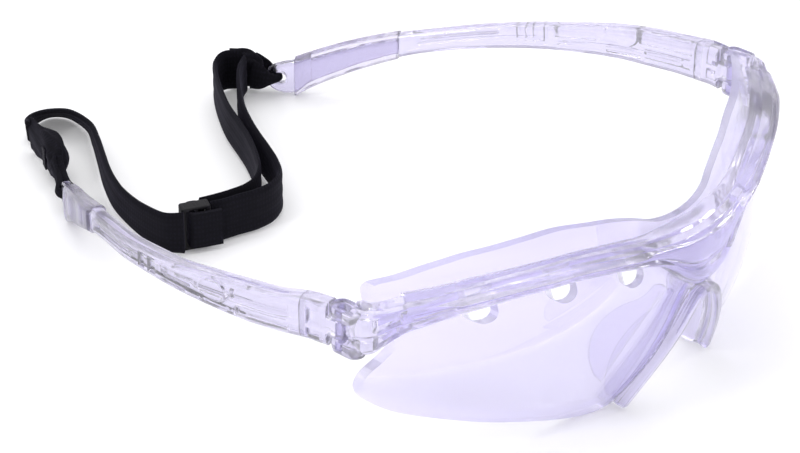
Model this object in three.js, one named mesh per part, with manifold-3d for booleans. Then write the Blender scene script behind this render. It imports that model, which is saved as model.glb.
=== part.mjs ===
// Clear racquet-sports eyeguard with an elastic head strap.
// Millimetres, +Z up, the wearer's left is +X and the lens faces -Y.
// It stands on the lower edge of its lens and on the two temple tips.
import * as THREE from 'three';
import * as BufferGeometryUtils from 'three/addons/utils/BufferGeometryUtils.js';
import Module from 'manifold-3d';

const wasm = await Module();
wasm.setup();

// ---- driving dimensions -------------------------------------------------
const GAP = 0.3;                  // working gap between neighbouring pieces
const ORIGIN_Y = 88.4;            // model y that becomes y = 0 of the part

// lens: y = LENS_Y + (z - LENS_Z)^2 / LENS_V + x^2 / LENS_H
const LENS_Y = -8.0;
const LENS_Z = 26.2;
const LENS_V = 82;
const LENS_H = 130;
const LENS_T = 1.8;

// brow bar: height of its front face and depth in front of the lens
const BAR_DEPTH = 6.8;
const BAR_END_X = 65;

// hinge
const PIN_X = 70.6;
const PIN_Y = 33.4;
const PIN_R = 0.9;
const KNUCKLE_R = 2.4;
const HINGE_Z0 = 30.2;
const HINGE_Z1 = 41.4;
const LINK_Z0 = 33.6;
const LINK_Z1 = 38.0;
const LINK_END_Y = 43.0;

// temple arm
const SLEEVE_START_Y = 124;
const SLEEVE_END_Y = 147.4;
const EYE_Y = 150.8;
const EYE_X = 38.2;
const EYE_Z = 4.8;
const EYE_HOLE_R = 1.6;
const EYE_TURN = 32.6;            // the tip's turn inwards, degrees

// strap
const WEB_W = 11.4;               // width of the webbing, standing on edge
const WEB_T = 1.2;                // thickness of one layer
const WEB_Z0 = 0.25;              // its lower edge above the table
const SLIDER_X = -28.9;
const SLIDER_Y = 117.1;
const SLIDER_TURN = -30;

// ---- colours ------------------------------------------------------------
const CLEAR = 0xd9d5ee;
const CLEAR_LENS = 0xe6e2f6;
const CLEAR_DARK = 0xbdb8d6;
const PAD = 0xe3e0ea;
const SLEEVE = 0xcfccd6;
const WEB = 0x17151d;
const SLIDER = 0x0e0d12;
const THREAD = 0x2a2830;

// ---- small helpers ------------------------------------------------------
function solid(geometry) {
  const g = geometry.clone();
  g.deleteAttribute('normal');
  g.deleteAttribute('uv');
  const m = BufferGeometryUtils.mergeVertices(g, 1e-5);
  const mesh = new wasm.Mesh({
    numProp: 3,
    vertProperties: new Float32Array(m.attributes.position.array),
    triVerts: new Uint32Array(m.index.array),
  });
  return new wasm.Manifold(mesh);
}

function geometryOf(manifold) {
  const mesh = manifold.getMesh();
  const g = new THREE.BufferGeometry();
  g.setAttribute('position', new THREE.BufferAttribute(new Float32Array(mesh.vertProperties), 3));
  g.setIndex(new THREE.BufferAttribute(new Uint32Array(mesh.triVerts), 1));
  g.computeVertexNormals();
  return g;
}

// Rings of points, one after another, become a closed solid. Each end is
// capped by a fan, or by strips when a ring is a long thin band.
function loft(rings, strips) {
  const n = rings[0].length;
  const position = [];
  const index = [];
  for (const ring of rings) {
    for (const p of ring) position.push(p[0], p[1], p[2]);
  }
  for (let i = 0; i + 1 < rings.length; i++) {
    for (let j = 0; j < n; j++) {
      const a = i * n + j;
      const b = i * n + (j + 1) % n;
      index.push(a, b, b + n, a, b + n, a + n);
    }
  }
  const last = (rings.length - 1) * n;
  const cap = strips ? stripCap(n) : fanCap(n);
  for (const [a, b, c] of cap) {
    index.push(a, c, b);
    index.push(last + a, last + b, last + c);
  }
  const g = new THREE.BufferGeometry();
  g.setAttribute('position', new THREE.Float32BufferAttribute(position, 3));
  g.setIndex(index);
  const m = solid(g);
  return m.volume() < 0 ? solid(flipped(g)) : m;
}

function fanCap(n) {
  const cap = [];
  for (let j = 1; j + 1 < n; j++) cap.push([0, j, j + 1]);
  return cap;
}

function stripCap(n) {
  const cap = [];
  for (let j = 0; j + 1 < n / 2; j++) {
    const k = n - 1 - j;
    cap.push([j, j + 1, k - 1]);
    cap.push([j, k - 1, k]);
  }
  return cap;
}

function flipped(geometry) {
  const g = geometry.clone();
  const a = g.index.array;
  for (let i = 0; i < a.length; i += 3) {
    const t = a[i];
    a[i] = a[i + 1];
    a[i + 1] = t;
  }
  return g;
}

function mirrored(manifold) {
  return manifold.mirror([1, 0, 0]);
}

// An outline in (x, z), pushed along y.
function prismY(shape, y0, y1) {
  const g = new THREE.ExtrudeGeometry(shape, { depth: y1 - y0, bevelEnabled: false, curveSegments: 8 });
  g.rotateX(Math.PI / 2);
  g.translate(0, y1, 0);
  return solid(g);
}

function box(x0, x1, y0, y1, z0, z1) {
  const g = new THREE.BoxGeometry(x1 - x0, y1 - y0, z1 - z0);
  g.translate((x0 + x1) / 2, (y0 + y1) / 2, (z0 + z1) / 2);
  return solid(g);
}

function cylinderZ(x, y, r, z0, z1, segments) {
  const g = new THREE.CylinderGeometry(r, r, z1 - z0, segments);
  g.rotateX(Math.PI / 2);
  g.translate(x, y, (z0 + z1) / 2);
  return solid(g);
}

// Piecewise-linear value through [x, value] pairs.
function table(pairs, x) {
  if (x <= pairs[0][0]) return pairs[0][1];
  for (let i = 1; i < pairs.length; i++) {
    const [x0, v0] = pairs[i - 1];
    const [x1, v1] = pairs[i];
    if (x <= x1) return v0 + (v1 - v0) * (x - x0) / (x1 - x0);
  }
  return pairs[pairs.length - 1][1];
}

function spline(points) {
  return new THREE.CatmullRomCurve3(points.map((p) => new THREE.Vector3(...p)), false, 'centripetal');
}

// Rounded box section: half width a, half height b, n points per corner.
function roundedRing(a, b, r, n) {
  const ring = [];
  const corners = [[1, 1, 0], [-1, 1, 90], [-1, -1, 180], [1, -1, 270]];
  for (const [sx, sz, start] of corners) {
    for (let i = 0; i <= n; i++) {
      const t = THREE.MathUtils.degToRad(start + 90 * i / n);
      ring.push([sx * (a - r) + r * Math.cos(t), sz * (b - r) + r * Math.sin(t)]);
    }
  }
  return ring;
}

function lensY(x, z) {
  return LENS_Y + (z - LENS_Z) ** 2 / LENS_V + x * x / LENS_H;
}

// ---- lens shield --------------------------------------------------------
function lensShape() {
  const right = [
    [0, 45.6], [5, 45.9], [9.5, 46.8], [13, 48.2], [18, 49.6], [24, 50.5], [31, 51.2], [38, 50.7],
    [44, 50.0], [49, 49.4], [52.6, 48.6], [56.2, 47.7], [61, 46.2], [65.6, 44.9], [66.8, 43.8],
    [66.8, 38.0], [65.2, 34.4], [63.8, 31.6], [66.0, 28.4], [68.4, 24.6], [69.2, 22.0],
    [69.2, 19.8], [68.2, 17.4], [66.4, 15.6], [63, 13.3], [58, 11.2], [52.3, 9.1], [46.4, 7.0],
    [38, 4.5], [30, 2.0], [25, 0.7], [21, 0.0], [18.6, 0.3],
  ];
  const nose = legOutline(GAP + 0.2).reverse().filter(([, z]) => z > 1);
  const half = right.concat(nose);
  const left = half.slice(1, -1).reverse().map(([x, z]) => [-x, z]);
  return new THREE.Shape(half.concat(left).map(([x, z]) => new THREE.Vector2(x, z)));
}

// Half-round vent under the bar, flat side up.
function ventShape(x, z, w, h) {
  const s = new THREE.Shape();
  s.moveTo(x - w / 2, z);
  s.lineTo(x - w / 2, z - h + w / 2);
  s.absarc(x, z - h + w / 2, w / 2, Math.PI, 2 * Math.PI, false);
  s.lineTo(x + w / 2, z);
  s.closePath();
  return s;
}

// The curved sheet the shield is cut from, grown forwards by ahead.
function lensSheet(ahead) {
  const nx = 38;
  const nz = 10;
  const rings = [];
  for (let i = 0; i <= nx; i++) {
    const x = -70.5 + 141 * i / nx;
    const ring = [];
    const stretch = Math.hypot(1, 2 * x / LENS_H);
    for (let j = 0; j <= nz; j++) {
      const z = -1 + 53 * j / nz;
      ring.push([x, lensY(x, z) - ahead * stretch, z]);
    }
    for (let j = nz; j >= 0; j--) {
      const z = -1 + 53 * j / nz;
      ring.push([x, lensY(x, z) + LENS_T * stretch, z]);
    }
    rings.push(ring);
  }
  return loft(rings, true);
}

function lensShield() {
  let body = lensSheet(0).intersect(prismY(lensShape(), -20, 60));
  for (const [x, z] of [[18.5, 41.2], [34.0, 42.3], [49.5, 40.8]]) {
    for (const side of [-1, 1]) {
      body = body.subtract(prismY(ventShape(side * x, z, 5.2, 5.8), -20, 60));
    }
  }
  return body;
}

// ---- brow bar with its endpieces ---------------------------------------
const BAR_BOTTOM = [[0, 30.8], [4, 31.6], [8, 34.4], [11, 37.6], [15, 40.9], [22, 43.0], [31, 43.9],
  [36, 43.6], [43, 42.9], [51, 41.3], [54.5, 40.3], [58, 38.9], [62.6, 36.8], [65, 35.4]];
const BAR_TOP = [[0, 44.4], [8, 45.0], [15, 45.6], [21.4, 46.4], [30, 46.9], [40.6, 46.4],
  [50, 45.4], [56.7, 44.2], [61.5, 43.4], [65, 43.0]];
const BAR_OUT = [[0, BAR_DEPTH - 2.2], [10, BAR_DEPTH - 1.4], [20, BAR_DEPTH], [52, BAR_DEPTH],
  [65, BAR_DEPTH - 1.4]];

function barRing(x) {
  const z0 = table(BAR_BOTTOM, Math.abs(x));
  const z1 = table(BAR_TOP, Math.abs(x));
  const slope = 2 * x / LENS_H;
  const len = Math.hypot(1, slope);
  const nx = slope / len;
  const ny = -1 / len;
  const at = (z, d) => {
    const y = lensY(x, z);
    return [x + nx * d, y + ny * d, z];
  };
  const d0 = -0.9;
  const front = lensY(x, (z0 + z1) / 2);
  const atFront = (z, d) => [x + nx * d, front + ny * d, z];
  const d1 = GAP + table(BAR_OUT, Math.abs(x));
  const c = Math.min(1.3, (z1 - z0) / 3);
  return [
    at(z0, d0),
    at(z1 + 0.8, d0),
    atFront(z1, d1 - 1.8),
    atFront(z1 - c * 0.5, d1 - 0.5),
    atFront((z0 + z1) / 2, d1),
    atFront(z0 + c * 0.5, d1 - 0.4),
    atFront(z0, d1 - 1.5),
  ];
}

function browBar() {
  const rings = [];
  const n = 42;
  for (let i = 0; i <= n; i++) rings.push(barRing(-BAR_END_X + 2 * BAR_END_X * i / n));
  let bar = loft(rings).subtract(lensSheet(GAP + 0.1));
  for (const side of [1, -1]) {
    const end = side > 0 ? endpiece() : mirrored(endpiece());
    bar = bar.add(end);
  }
  return bar;
}

// The box between the bar and the hinge, with a moulded window in its side.
function endpiece() {
  const stations = [
    [67.0, 22.2, [0.72, 0.69], 2.6, 35.0, 43.0],
    [69.2, 25.4, [0.45, 0.89], 2.2, 32.4, 42.4],
    [70.4, 29.2, [0.14, 0.99], 2.2, 30.8, 41.8],
    [PIN_X + 0.2, PIN_Y, [0, 1], 2.1, HINGE_Z0, HINGE_Z1],
  ];
  let end = loft(stations.map(([x, y, dir, half, z0, z1]) => ringAt(x, y, dir, half, z0, z1, 1.0)));
  end = end.add(cylinderZ(PIN_X, PIN_Y, KNUCKLE_R, HINGE_Z0, HINGE_Z1, 20));
  end = end.subtract(box(60, 80, 30.4, 40, LINK_Z0 - GAP, LINK_Z1 + GAP));
  end = end.subtract(cylinderZ(PIN_X, PIN_Y, PIN_R + GAP, HINGE_Z0 - 1, HINGE_Z1 - 0.9, 16));
  return end.subtract(prismX(windowShape(25.6, 28.8, 33.6, 40.4), 71.6, 80));
}

// A section across a path that runs in direction dir (x, y).
function ringAt(x, y, dir, half, z0, z1, r) {
  const len = Math.hypot(dir[0], dir[1]);
  const nx = dir[1] / len;
  const ny = -dir[0] / len;
  const ring = roundedRing(half, (z1 - z0) / 2, Math.min(r, half * 0.9, (z1 - z0) / 2.2), 2);
  return ring.map(([a, b]) => [x + nx * a, y + ny * a, (z0 + z1) / 2 + b]);
}

function windowShape(y0, y1, z0, z1) {
  const s = new THREE.Shape();
  s.moveTo(y0, z0);
  s.lineTo(y1, z0);
  s.lineTo(y1, z1);
  s.lineTo(y0, z1);
  s.closePath();
  return s;
}

// An outline in (y, z), pushed along x.
function prismX(shape, x0, x1) {
  const g = new THREE.ExtrudeGeometry(shape, { depth: x1 - x0, bevelEnabled: false });
  const p = g.attributes.position;
  for (let i = 0; i < p.count; i++) {
    p.setXYZ(i, x0 + p.getZ(i), p.getX(i), p.getY(i));
  }
  return solid(g);
}

// ---- hinge pin ----------------------------------------------------------
function hingePin() {
  return cylinderZ(PIN_X, PIN_Y, PIN_R, HINGE_Z0 + 0.1, HINGE_Z1 - 1.3, 16);
}

// ---- temple: hinge link, arm, soft tip ---------------------------------
// Rows of the arm: y, x of its middle, lower z, upper z, half thickness.
const ARM = [
  [42.5, 71.3, 30.0, 40.6, 2.4],
  [50, 72.2, 29.0, 38.8, 2.4],
  [58, 72.4, 27.8, 37.4, 2.3],
  [68, 72.0, 26.6, 35.3, 2.2],
  [80, 70.3, 24.8, 32.1, 2.2],
  [92, 67.4, 22.6, 29.2, 2.1],
  [104, 63.5, 19.9, 26.0, 2.0],
  [116, 58.1, 16.8, 22.6, 1.9],
  [124, 54.2, 13.9, 20.3, 1.8],
  [134, 49.0, 9.0, 16.6, 1.8],
  [142, 43.9, 4.4, 13.0, 1.8],
  [147.4, 40.3, 0.35, 10.2, 1.7],
  [150, 38.6, -1.6, 8.8, 1.7],
];

function armRow(y) {
  const row = [1, 2, 3, 4].map((k) => table(ARM.map((r) => [r[0], r[k]]), y));
  const ahead = table(ARM.map((r) => [r[0], r[1]]), y + 2) - table(ARM.map((r) => [r[0], r[1]]), y - 2);
  return { x: row[0], z0: row[1], z1: row[2], half: row[3], dir: [ahead, 4] };
}

function armSolid(y0, y1, shrink, step) {
  const rings = [];
  const n = Math.max(2, Math.round((y1 - y0) / step));
  for (let i = 0; i <= n; i++) {
    const y = y0 + (y1 - y0) * i / n;
    const r = armRow(y);
    rings.push(ringAt(r.x, y, r.dir, r.half - shrink, r.z0 + shrink, r.z1 - shrink, 1.5));
  }
  return loft(rings);
}

function hingeLink() {
  let link = loft([
    ringAt(PIN_X, PIN_Y + 0.1, [0, 1], 2.2, LINK_Z0, LINK_Z1, 0.8),
    ringAt(PIN_X + 0.2, PIN_Y + 3.4, [0.1, 1], 2.2, LINK_Z0, LINK_Z1, 0.8),
  ]);
  link = link.add(cylinderZ(PIN_X, PIN_Y, KNUCKLE_R, LINK_Z0, LINK_Z1, 20));
  link = link.subtract(cylinderZ(PIN_X, PIN_Y, PIN_R + GAP, LINK_Z0 - 1, LINK_Z1 + 1, 16));
  const end = armRow(LINK_END_Y);
  link = link.add(loft([
    ringAt(PIN_X + 0.1, PIN_Y + 2.9, [0.06, 1], 2.3, 30.3, 41.2, 1.0),
    ringAt(PIN_X + 0.5, PIN_Y + 6.0, [0.12, 1], 2.4, 30.3, 41.0, 1.0),
    ringAt(end.x, LINK_END_Y, armRow(LINK_END_Y + GAP).dir, 2.4, 30.1, 40.6, 1.0),
  ]));
  return link.subtract(prismX(windowShape(38.0, 41.2, 34.8, 38.6), 72.2, 80));
}

function templeArm() {
  let arm = armSolid(LINK_END_Y + GAP, SLEEVE_START_Y - GAP, 0, 6);
  // moulded grooves along the outer side
  arm = arm.subtract(groove(48, 60, 1.4, 2.4, 0.9));
  arm = arm.subtract(groove(63, 80, 1.2, 2.0, 0.8));
  arm = arm.subtract(groove(88, 108, 1.0, 1.8, 0.7));
  arm = arm.add(armSolid(SLEEVE_START_Y - GAP - 2, SLEEVE_END_Y - 3, 1.3, 4));
  arm = arm.add(tipTongue());
  return arm.subtract(eyeHole());
}

// A groove in the outer face, following the arm's middle line.
function groove(y0, y1, low, high, depth) {
  const rings = [];
  const n = 4;
  for (let i = 0; i <= n; i++) {
    const y = y0 + (y1 - y0) * i / n;
    const r = armRow(y);
    const zm = (r.z0 + r.z1) / 2;
    const out = r.x + r.half;
    rings.push([
      [out - depth, y, zm - low], [out + 3, y, zm - low], [out + 3, y, zm + high], [out - depth, y, zm + high],
    ]);
  }
  return loft(rings);
}

// The hard core runs out of the sleeve as a flat tongue with the strap's eye.
function tipTongue() {
  const dir = [-0.62, 1];
  return loft([
    ringAt(42.6, 143.6, dir, 0.9, 6.0, 10.6, 0.4),
    ringAt(40.4, 147.2, dir, 0.9, 3.0, 7.8, 0.4),
    ringAt(EYE_X, EYE_Y, dir, 0.9, EYE_Z - 2.9, EYE_Z + 2.9, 0.4),
    ringAt(EYE_X - 1.1, EYE_Y + 1.8, dir, 0.9, EYE_Z - 2.3, EYE_Z + 2.3, 0.4),
    ringAt(EYE_X - 1.7, EYE_Y + 2.8, dir, 0.9, EYE_Z - 0.9, EYE_Z + 0.9, 0.4),
  ]);
}

function eyeHole() {
  const g = new THREE.CylinderGeometry(EYE_HOLE_R, EYE_HOLE_R, 12, 16);
  g.rotateZ(Math.PI / 2);
  g.rotateZ(THREE.MathUtils.degToRad(EYE_TURN));
  g.translate(EYE_X, EYE_Y, EYE_Z);
  return solid(g);
}

function tipSleeve() {
  const outer = armSolid(SLEEVE_START_Y, SLEEVE_END_Y, -0.35, 4);
  const pocket = armSolid(SLEEVE_START_Y - 1, SLEEVE_END_Y + 0.01, 0.6, 4);
  return outer.subtract(pocket);
}

// ---- nosepiece and pads -------------------------------------------------
// Rows down one leg: x, z, front y of the rim.
const LEG = [[0, 29.4, -11.0], [2.8, 28.5, -10.8], [5.2, 25.8, -10.4], [7.7, 21.0, -9.3],
  [10.4, 15.4, -7.4], [13.3, 9.2, -4.8], [15.8, 3.4, -2.2], [16.6, 1.2, -1.2]];

// The leg's outer line in (x, z), moved outwards.
function legOutline(out) {
  return LEG.map(([x, z], i) => {
    const a = LEG[Math.max(0, i - 1)];
    const b = LEG[Math.min(LEG.length - 1, i + 1)];
    const dx = i === 0 ? 1 : b[0] - a[0];
    const dz = i === 0 ? 0 : b[1] - a[1];
    const len = Math.hypot(dx, dz);
    return [x - dz / len * out, z + dx / len * out];
  });
}

function nosepiece() {
  const rows = LEG.slice(1).reverse().map(([x, z, y]) => [-x, z, y]).concat(LEG);
  const rings = rows.map((row, i) => {
    const a = rows[Math.max(0, i - 1)];
    const b = rows[Math.min(rows.length - 1, i + 1)];
    const len = Math.hypot(b[0] - a[0], b[1] - a[1]);
    const nx = -(b[1] - a[1]) / len;
    const nz = (b[0] - a[0]) / len;
    const [x, z, y] = row;
    const w = 2.0;
    const depth = 8.0;
    return [
      [x, y, z], [x, y + depth, z],
      [x - nx * w, y + depth, z - nz * w], [x - nx * w, y, z - nz * w],
    ];
  });
  return loft(rings);
}

// Soft paddle behind the lens, along the back edge of one leg: a D with a short
// neck at its upper end.
function nosePad() {
  const s = new THREE.Shape();
  s.moveTo(0, -11.5);
  s.bezierCurveTo(3.6, -11.3, 7.4, -6.6, 7.4, -1.4);
  s.bezierCurveTo(7.4, 3.4, 5.2, 7.4, 3.4, 9.6);
  s.bezierCurveTo(2.7, 10.5, 2.6, 12.0, 2.4, 15.6);
  s.lineTo(0, 15.6);
  s.closePath();
  const g = new THREE.ExtrudeGeometry(s, {
    depth: 0.8,
    bevelEnabled: true,
    bevelThickness: 0.4,
    bevelSize: 0.5,
    bevelSegments: 2,
    curveSegments: 8,
  });
  g.translate(0, 0, -0.4);
  const along = new THREE.Vector3(-0.36, -0.34, 0.87).normalize();
  const out = new THREE.Vector3(0.42, 0.9, 0);
  out.addScaledVector(along, -out.dot(along)).normalize();
  const normal = new THREE.Vector3().crossVectors(out, along);
  g.applyMatrix4(new THREE.Matrix4().makeBasis(out, along, normal));
  g.translate(11.0, 2.6, 14.6);
  return solid(g);
}

// ---- strap --------------------------------------------------------------
// A band standing on edge along a plan path; ends are square.
function band(points, z0, z1, offset, thick) {
  const curve = spline(points.map(([x, y]) => [x, y, 0]));
  const n = points.length * 3;
  const rings = [];
  for (let i = 0; i <= n; i++) {
    const p = curve.getPointAt(i / n);
    const t = curve.getTangentAt(i / n);
    const nx = -t.y;
    const ny = t.x;
    const a = offset - thick / 2;
    const b = offset + thick / 2;
    rings.push([
      [p.x + nx * a, p.y + ny * a, z0], [p.x + nx * b, p.y + ny * b, z0],
      [p.x + nx * b, p.y + ny * b, z1], [p.x + nx * a, p.y + ny * a, z1],
    ]);
  }
  return loft(rings);
}

// A round cord through points.
function cordSolid(points, r) {
  const curve = spline(points);
  const n = points.length * 3;
  const frames = curve.computeFrenetFrames(n, false);
  const rings = [];
  for (let i = 0; i <= n; i++) {
    const p = curve.getPointAt(i / n);
    const ring = [];
    for (let j = 0; j < 10; j++) {
      const t = Math.PI * 2 * j / 10;
      const v = frames.normals[i].clone().multiplyScalar(r * Math.cos(t));
      v.addScaledVector(frames.binormals[i], r * Math.sin(t)).add(p);
      ring.push([v.x, v.y, v.z]);
    }
    rings.push(ring);
  }
  return loft(rings);
}

// Plan paths of the runs of webbing, lower edge on the table. The single run
// leans outwards round its far turn; the doubled run stands upright.
const SINGLE_LOW = [[-21.4, 181.6], [-18.0, 185.4], [-13.2, 187.6], [-9.0, 186.8], [-6.6, 182.6],
  [-8.0, 174.6], [-12.4, 168.0], [-18.1, 160.4], [-24.9, 151.5], [-30.4, 142.6], [-33.6, 134.0],
  [-35.2, 127.0], [-35.2, 121.6]];
const SINGLE_LEAN = [[-5.2, -3.4], [-6.0, -4.6], [-6.4, -5.6], [-6.2, -6.6], [-5.8, -6.8],
  [-5.5, -6.8], [-5.0, -6.8], [-4.4, -6.2], [-3.4, -5.4], [-2.4, -4.6], [-1.8, -3.4],
  [-1.2, -2.0], [0, 0]];
const LOOP_OUTER = [[-22.6, 114.4], [-19.0, 112.4], [-14.2, 110.6], [-9.0, 110.2], [-4.2, 112.2],
  [-0.4, 116.8], [2.6, 122.0], [5.6, 127.8], [9.0, 133.8], [13.2, 140.2], [18.0, 145.8],
  [24.1, 152.0], [28.4, 155.4]];
const LOOP_INNER = [[-22.9, 117.2], [-18.6, 115.2], [-14.0, 114.2], [-9.8, 115.0], [-5.2, 118.2],
  [-0.6, 123.6], [4.0, 130.4], [7.6, 136.9], [11.6, 144.3], [17.2, 152.3], [22.6, 158.8],
  [26.0, 161.6], [29.4, 162.6]];
const WAD_RIGHT = [[-31.6, 161.0], [-28.4, 164.6], [-26.6, 168.6], [-25.4, 172.8]];
const WAD_LEFT = [[34.6, 157.4], [33.6, 161.4], [31.2, 164.6]];

// The narrow end of the strap: it goes through the arm's eye and back into a
// folded, sewn wad. Points are (across the arm, along the arm, height).
function strapNeck(back) {
  const turn = THREE.MathUtils.degToRad(EYE_TURN);
  const at = (a, b, z) => [
    EYE_X + Math.cos(turn) * a - Math.sin(turn) * b,
    EYE_Y + Math.sin(turn) * a + Math.cos(turn) * b,
    z,
  ];
  return cordSolid([
    at(-1.2, back, 5.8), at(-2.6, 3.2, 5.0), at(-1.6, 0.3, EYE_Z), at(0, 0, EYE_Z),
    at(1.6, 0.3, EYE_Z), at(2.6, 3.2, 5.0), at(1.2, back, 5.8),
  ], 1.0);
}

function strapEndRight() {
  return mirrored(strapNeck(12.0)).add(band(WAD_RIGHT, 1.4, 10.8, 0, 4.4));
}

function strapEndLeft() {
  return strapNeck(8.0).add(band(WAD_LEFT, 0.8, 10.6, 0, 3.2));
}

// Bar of stitching across the wad, just off its outer face.
function barTack(path, offset) {
  return band(path, 2.6, 9.4, offset, 0.5);
}

// The single run: its upper edge is moved sideways by the lean.
function strapSingle() {
  const low = spline(SINGLE_LOW.map(([x, y]) => [x, y, WEB_Z0]));
  const up = spline(SINGLE_LOW.map(([x, y], i) => {
    const [dx, dy] = SINGLE_LEAN[i];
    return [x + dx, y + dy, WEB_Z0 + Math.sqrt(WEB_W ** 2 - dx * dx - dy * dy)];
  }));
  const n = SINGLE_LOW.length * 3;
  const rings = [];
  for (let i = 0; i <= n; i++) {
    const p = low.getPoint(i / n);
    const q = up.getPoint(i / n);
    const along = low.getTangent(i / n);
    const half = new THREE.Vector3().crossVectors(along, q.clone().sub(p)).setLength(WEB_T / 2);
    half.z = 0;
    rings.push([
      [p.x - half.x, p.y - half.y, p.z], [p.x + half.x, p.y + half.y, p.z],
      [q.x + half.x, q.y + half.y, q.z], [q.x - half.x, q.y - half.y, q.z],
    ]);
  }
  return loft(rings);
}

function strapLoop(path) {
  return band(path, WEB_Z0, WEB_Z0 + WEB_W, 0, WEB_T);
}

// Three-bar slider standing on edge; webbing passes through its two slots.
function slider() {
  const frame = box(-3.6, 3.6, -1.7, 1.7, 0.2, 11.9);
  const slotA = box(-2.6, -0.6, -3, 3, 1.0, 11.1);
  const slotB = box(0.6, 2.6, -3, 3, 1.0, 11.1);
  return atSlider(frame.subtract(slotA).subtract(slotB));
}

// End of the webbing, wrapped round the slider's middle bar and sewn.
function sliderHem() {
  const wrap = box(-2.1, 2.1, -3.2, 3.2, 1.3, 10.9).subtract(box(-0.9, 0.9, -2.0, 2.0, 0, 13));
  return atSlider(wrap.add(box(1.5, 6.4, -3.2, -2.0, 1.3, 10.9)));
}

function atSlider(m) {
  return m.rotate([0, 0, SLIDER_TURN]).translate([SLIDER_X, SLIDER_Y, 0]);
}

// ---- assembly -----------------------------------------------------------
const parts = [];

function put(name, manifold, colour, roughness, metalness) {
  const g = geometryOf(manifold);
  g.translate(0, -ORIGIN_Y, 0);
  const material = new THREE.MeshStandardMaterial({ color: colour, roughness, metalness: metalness || 0 });
  const mesh = new THREE.Mesh(g, material);
  mesh.name = name;
  parts.push(mesh);
}

put('brow_bar', browBar(), CLEAR, 0.1);
put('lens_shield', lensShield(), CLEAR_LENS, 0.05);
put('nosepiece', nosepiece(), CLEAR_DARK, 0.15);
for (const [side, name] of [[-1, 'right'], [1, 'left']]) {
  const hand = (m) => (side > 0 ? m : mirrored(m));
  put(`nose_pad_${name}`, hand(nosePad()), PAD, 0.4);
  put(`hinge_pin_${name}`, hand(hingePin()), CLEAR_DARK, 0.2);
  put(`hinge_link_${name}`, hand(hingeLink()), CLEAR_DARK, 0.1);
  put(`temple_arm_${name}`, hand(templeArm()), CLEAR, 0.1);
  put(`tip_sleeve_${name}`, hand(tipSleeve()), SLEEVE, 0.5);
}
put('strap_end_right', strapEndRight(), WEB, 0.9);
put('strap_single', strapSingle(), WEB, 0.9);
put('strap_tack_right', barTack([[-28.8, 164.0], [-27.5, 166.2]], 2.75), THREAD, 0.8);
put('strap_slider', slider(), SLIDER, 0.35);
put('strap_hem', sliderHem(), WEB, 0.9);
put('strap_loop_outer', strapLoop(LOOP_OUTER), WEB, 0.9);
put('strap_loop_inner', strapLoop(LOOP_INNER), WEB, 0.9);
put('strap_end_left', strapEndLeft(), WEB, 0.9);
put('strap_tack_left', barTack([[34.2, 159.6], [33.4, 161.6]], -2.15), THREAD, 0.8);

const group = new THREE.Group();
group.name = 'sports_protective_goggles';
for (const mesh of parts) group.add(mesh);

export default group;
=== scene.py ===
"""Clear racquet-sports eyeguard on a pale table: polycarbonate shield, bar
and temples, soft nose pads and tips, and a woven elastic head strap."""
import math
import bmesh
import bpy
import numpy as np
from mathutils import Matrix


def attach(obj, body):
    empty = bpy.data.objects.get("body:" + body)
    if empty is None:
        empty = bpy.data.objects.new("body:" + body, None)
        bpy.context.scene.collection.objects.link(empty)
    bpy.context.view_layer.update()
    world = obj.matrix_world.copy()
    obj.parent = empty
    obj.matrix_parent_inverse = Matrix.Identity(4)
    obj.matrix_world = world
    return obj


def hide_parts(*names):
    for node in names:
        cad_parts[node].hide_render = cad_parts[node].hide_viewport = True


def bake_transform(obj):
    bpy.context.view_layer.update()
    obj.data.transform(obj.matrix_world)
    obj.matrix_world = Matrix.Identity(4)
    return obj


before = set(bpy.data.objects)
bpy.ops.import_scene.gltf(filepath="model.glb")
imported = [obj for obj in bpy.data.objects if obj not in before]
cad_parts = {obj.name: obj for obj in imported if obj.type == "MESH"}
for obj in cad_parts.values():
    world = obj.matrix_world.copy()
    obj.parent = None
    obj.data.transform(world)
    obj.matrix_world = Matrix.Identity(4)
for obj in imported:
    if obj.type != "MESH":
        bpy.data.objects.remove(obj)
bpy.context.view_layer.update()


# ---- table, light and camera ---------------------------------------------
# A matt white table under one broad softbox, with two small lamps that
# give the clear plastic its sparks. The light is even, as in a light tent.
def linear(code):
    """Linear colour of an sRGB hex code, with alpha 1."""
    s = np.array([int(code[i:i + 2], 16) / 255 for i in (1, 3, 5)])
    return (*np.where(s <= 0.04045, s / 12.92, ((s + 0.055) / 1.055) ** 2.4), 1.0)


def add(tree, kind, settings=None, **links):
    """Adds a node, sets its inputs and properties, and links named inputs."""
    n = tree.nodes.new(kind)
    for key, value in (settings or {}).items():
        if key in n.inputs:
            n.inputs[key].default_value = value
        else:
            setattr(n, key, value)
    for key, source in links.items():
        tree.links.new(source, n.inputs[key.replace("_", " ")])
    return n


def finish(name, **settings):
    """A material whose surface has the given settings, each named for its
    input. Returns the material, its node tree and its surface node."""
    m = bpy.data.materials.new(name)
    m.use_nodes = True
    surface = m.node_tree.nodes["Principled BSDF"]
    for key, value in settings.items():
        surface.inputs[key.replace("_", " ")].default_value = value
    return m, m.node_tree, surface


def bumped(tree, surface, height, strength, distance):
    """Raises the surface by the height socket, up to distance in metres."""
    bump = add(tree, "ShaderNodeBump", {"Strength": strength, "Distance": distance},
               Height=height)
    tree.links.new(bump.outputs["Normal"], surface.inputs["Normal"])


def toned(tree, surface, value, dark, light):
    """Colours the surface from dark to light as the value socket goes 0 to 1."""
    tone = add(tree, "ShaderNodeValToRGB", Fac=value)
    tone.color_ramp.elements[0].color = linear(dark)
    tone.color_ramp.elements[1].color = linear(light)
    tree.links.new(tone.outputs["Color"], surface.inputs["Base Color"])


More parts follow.
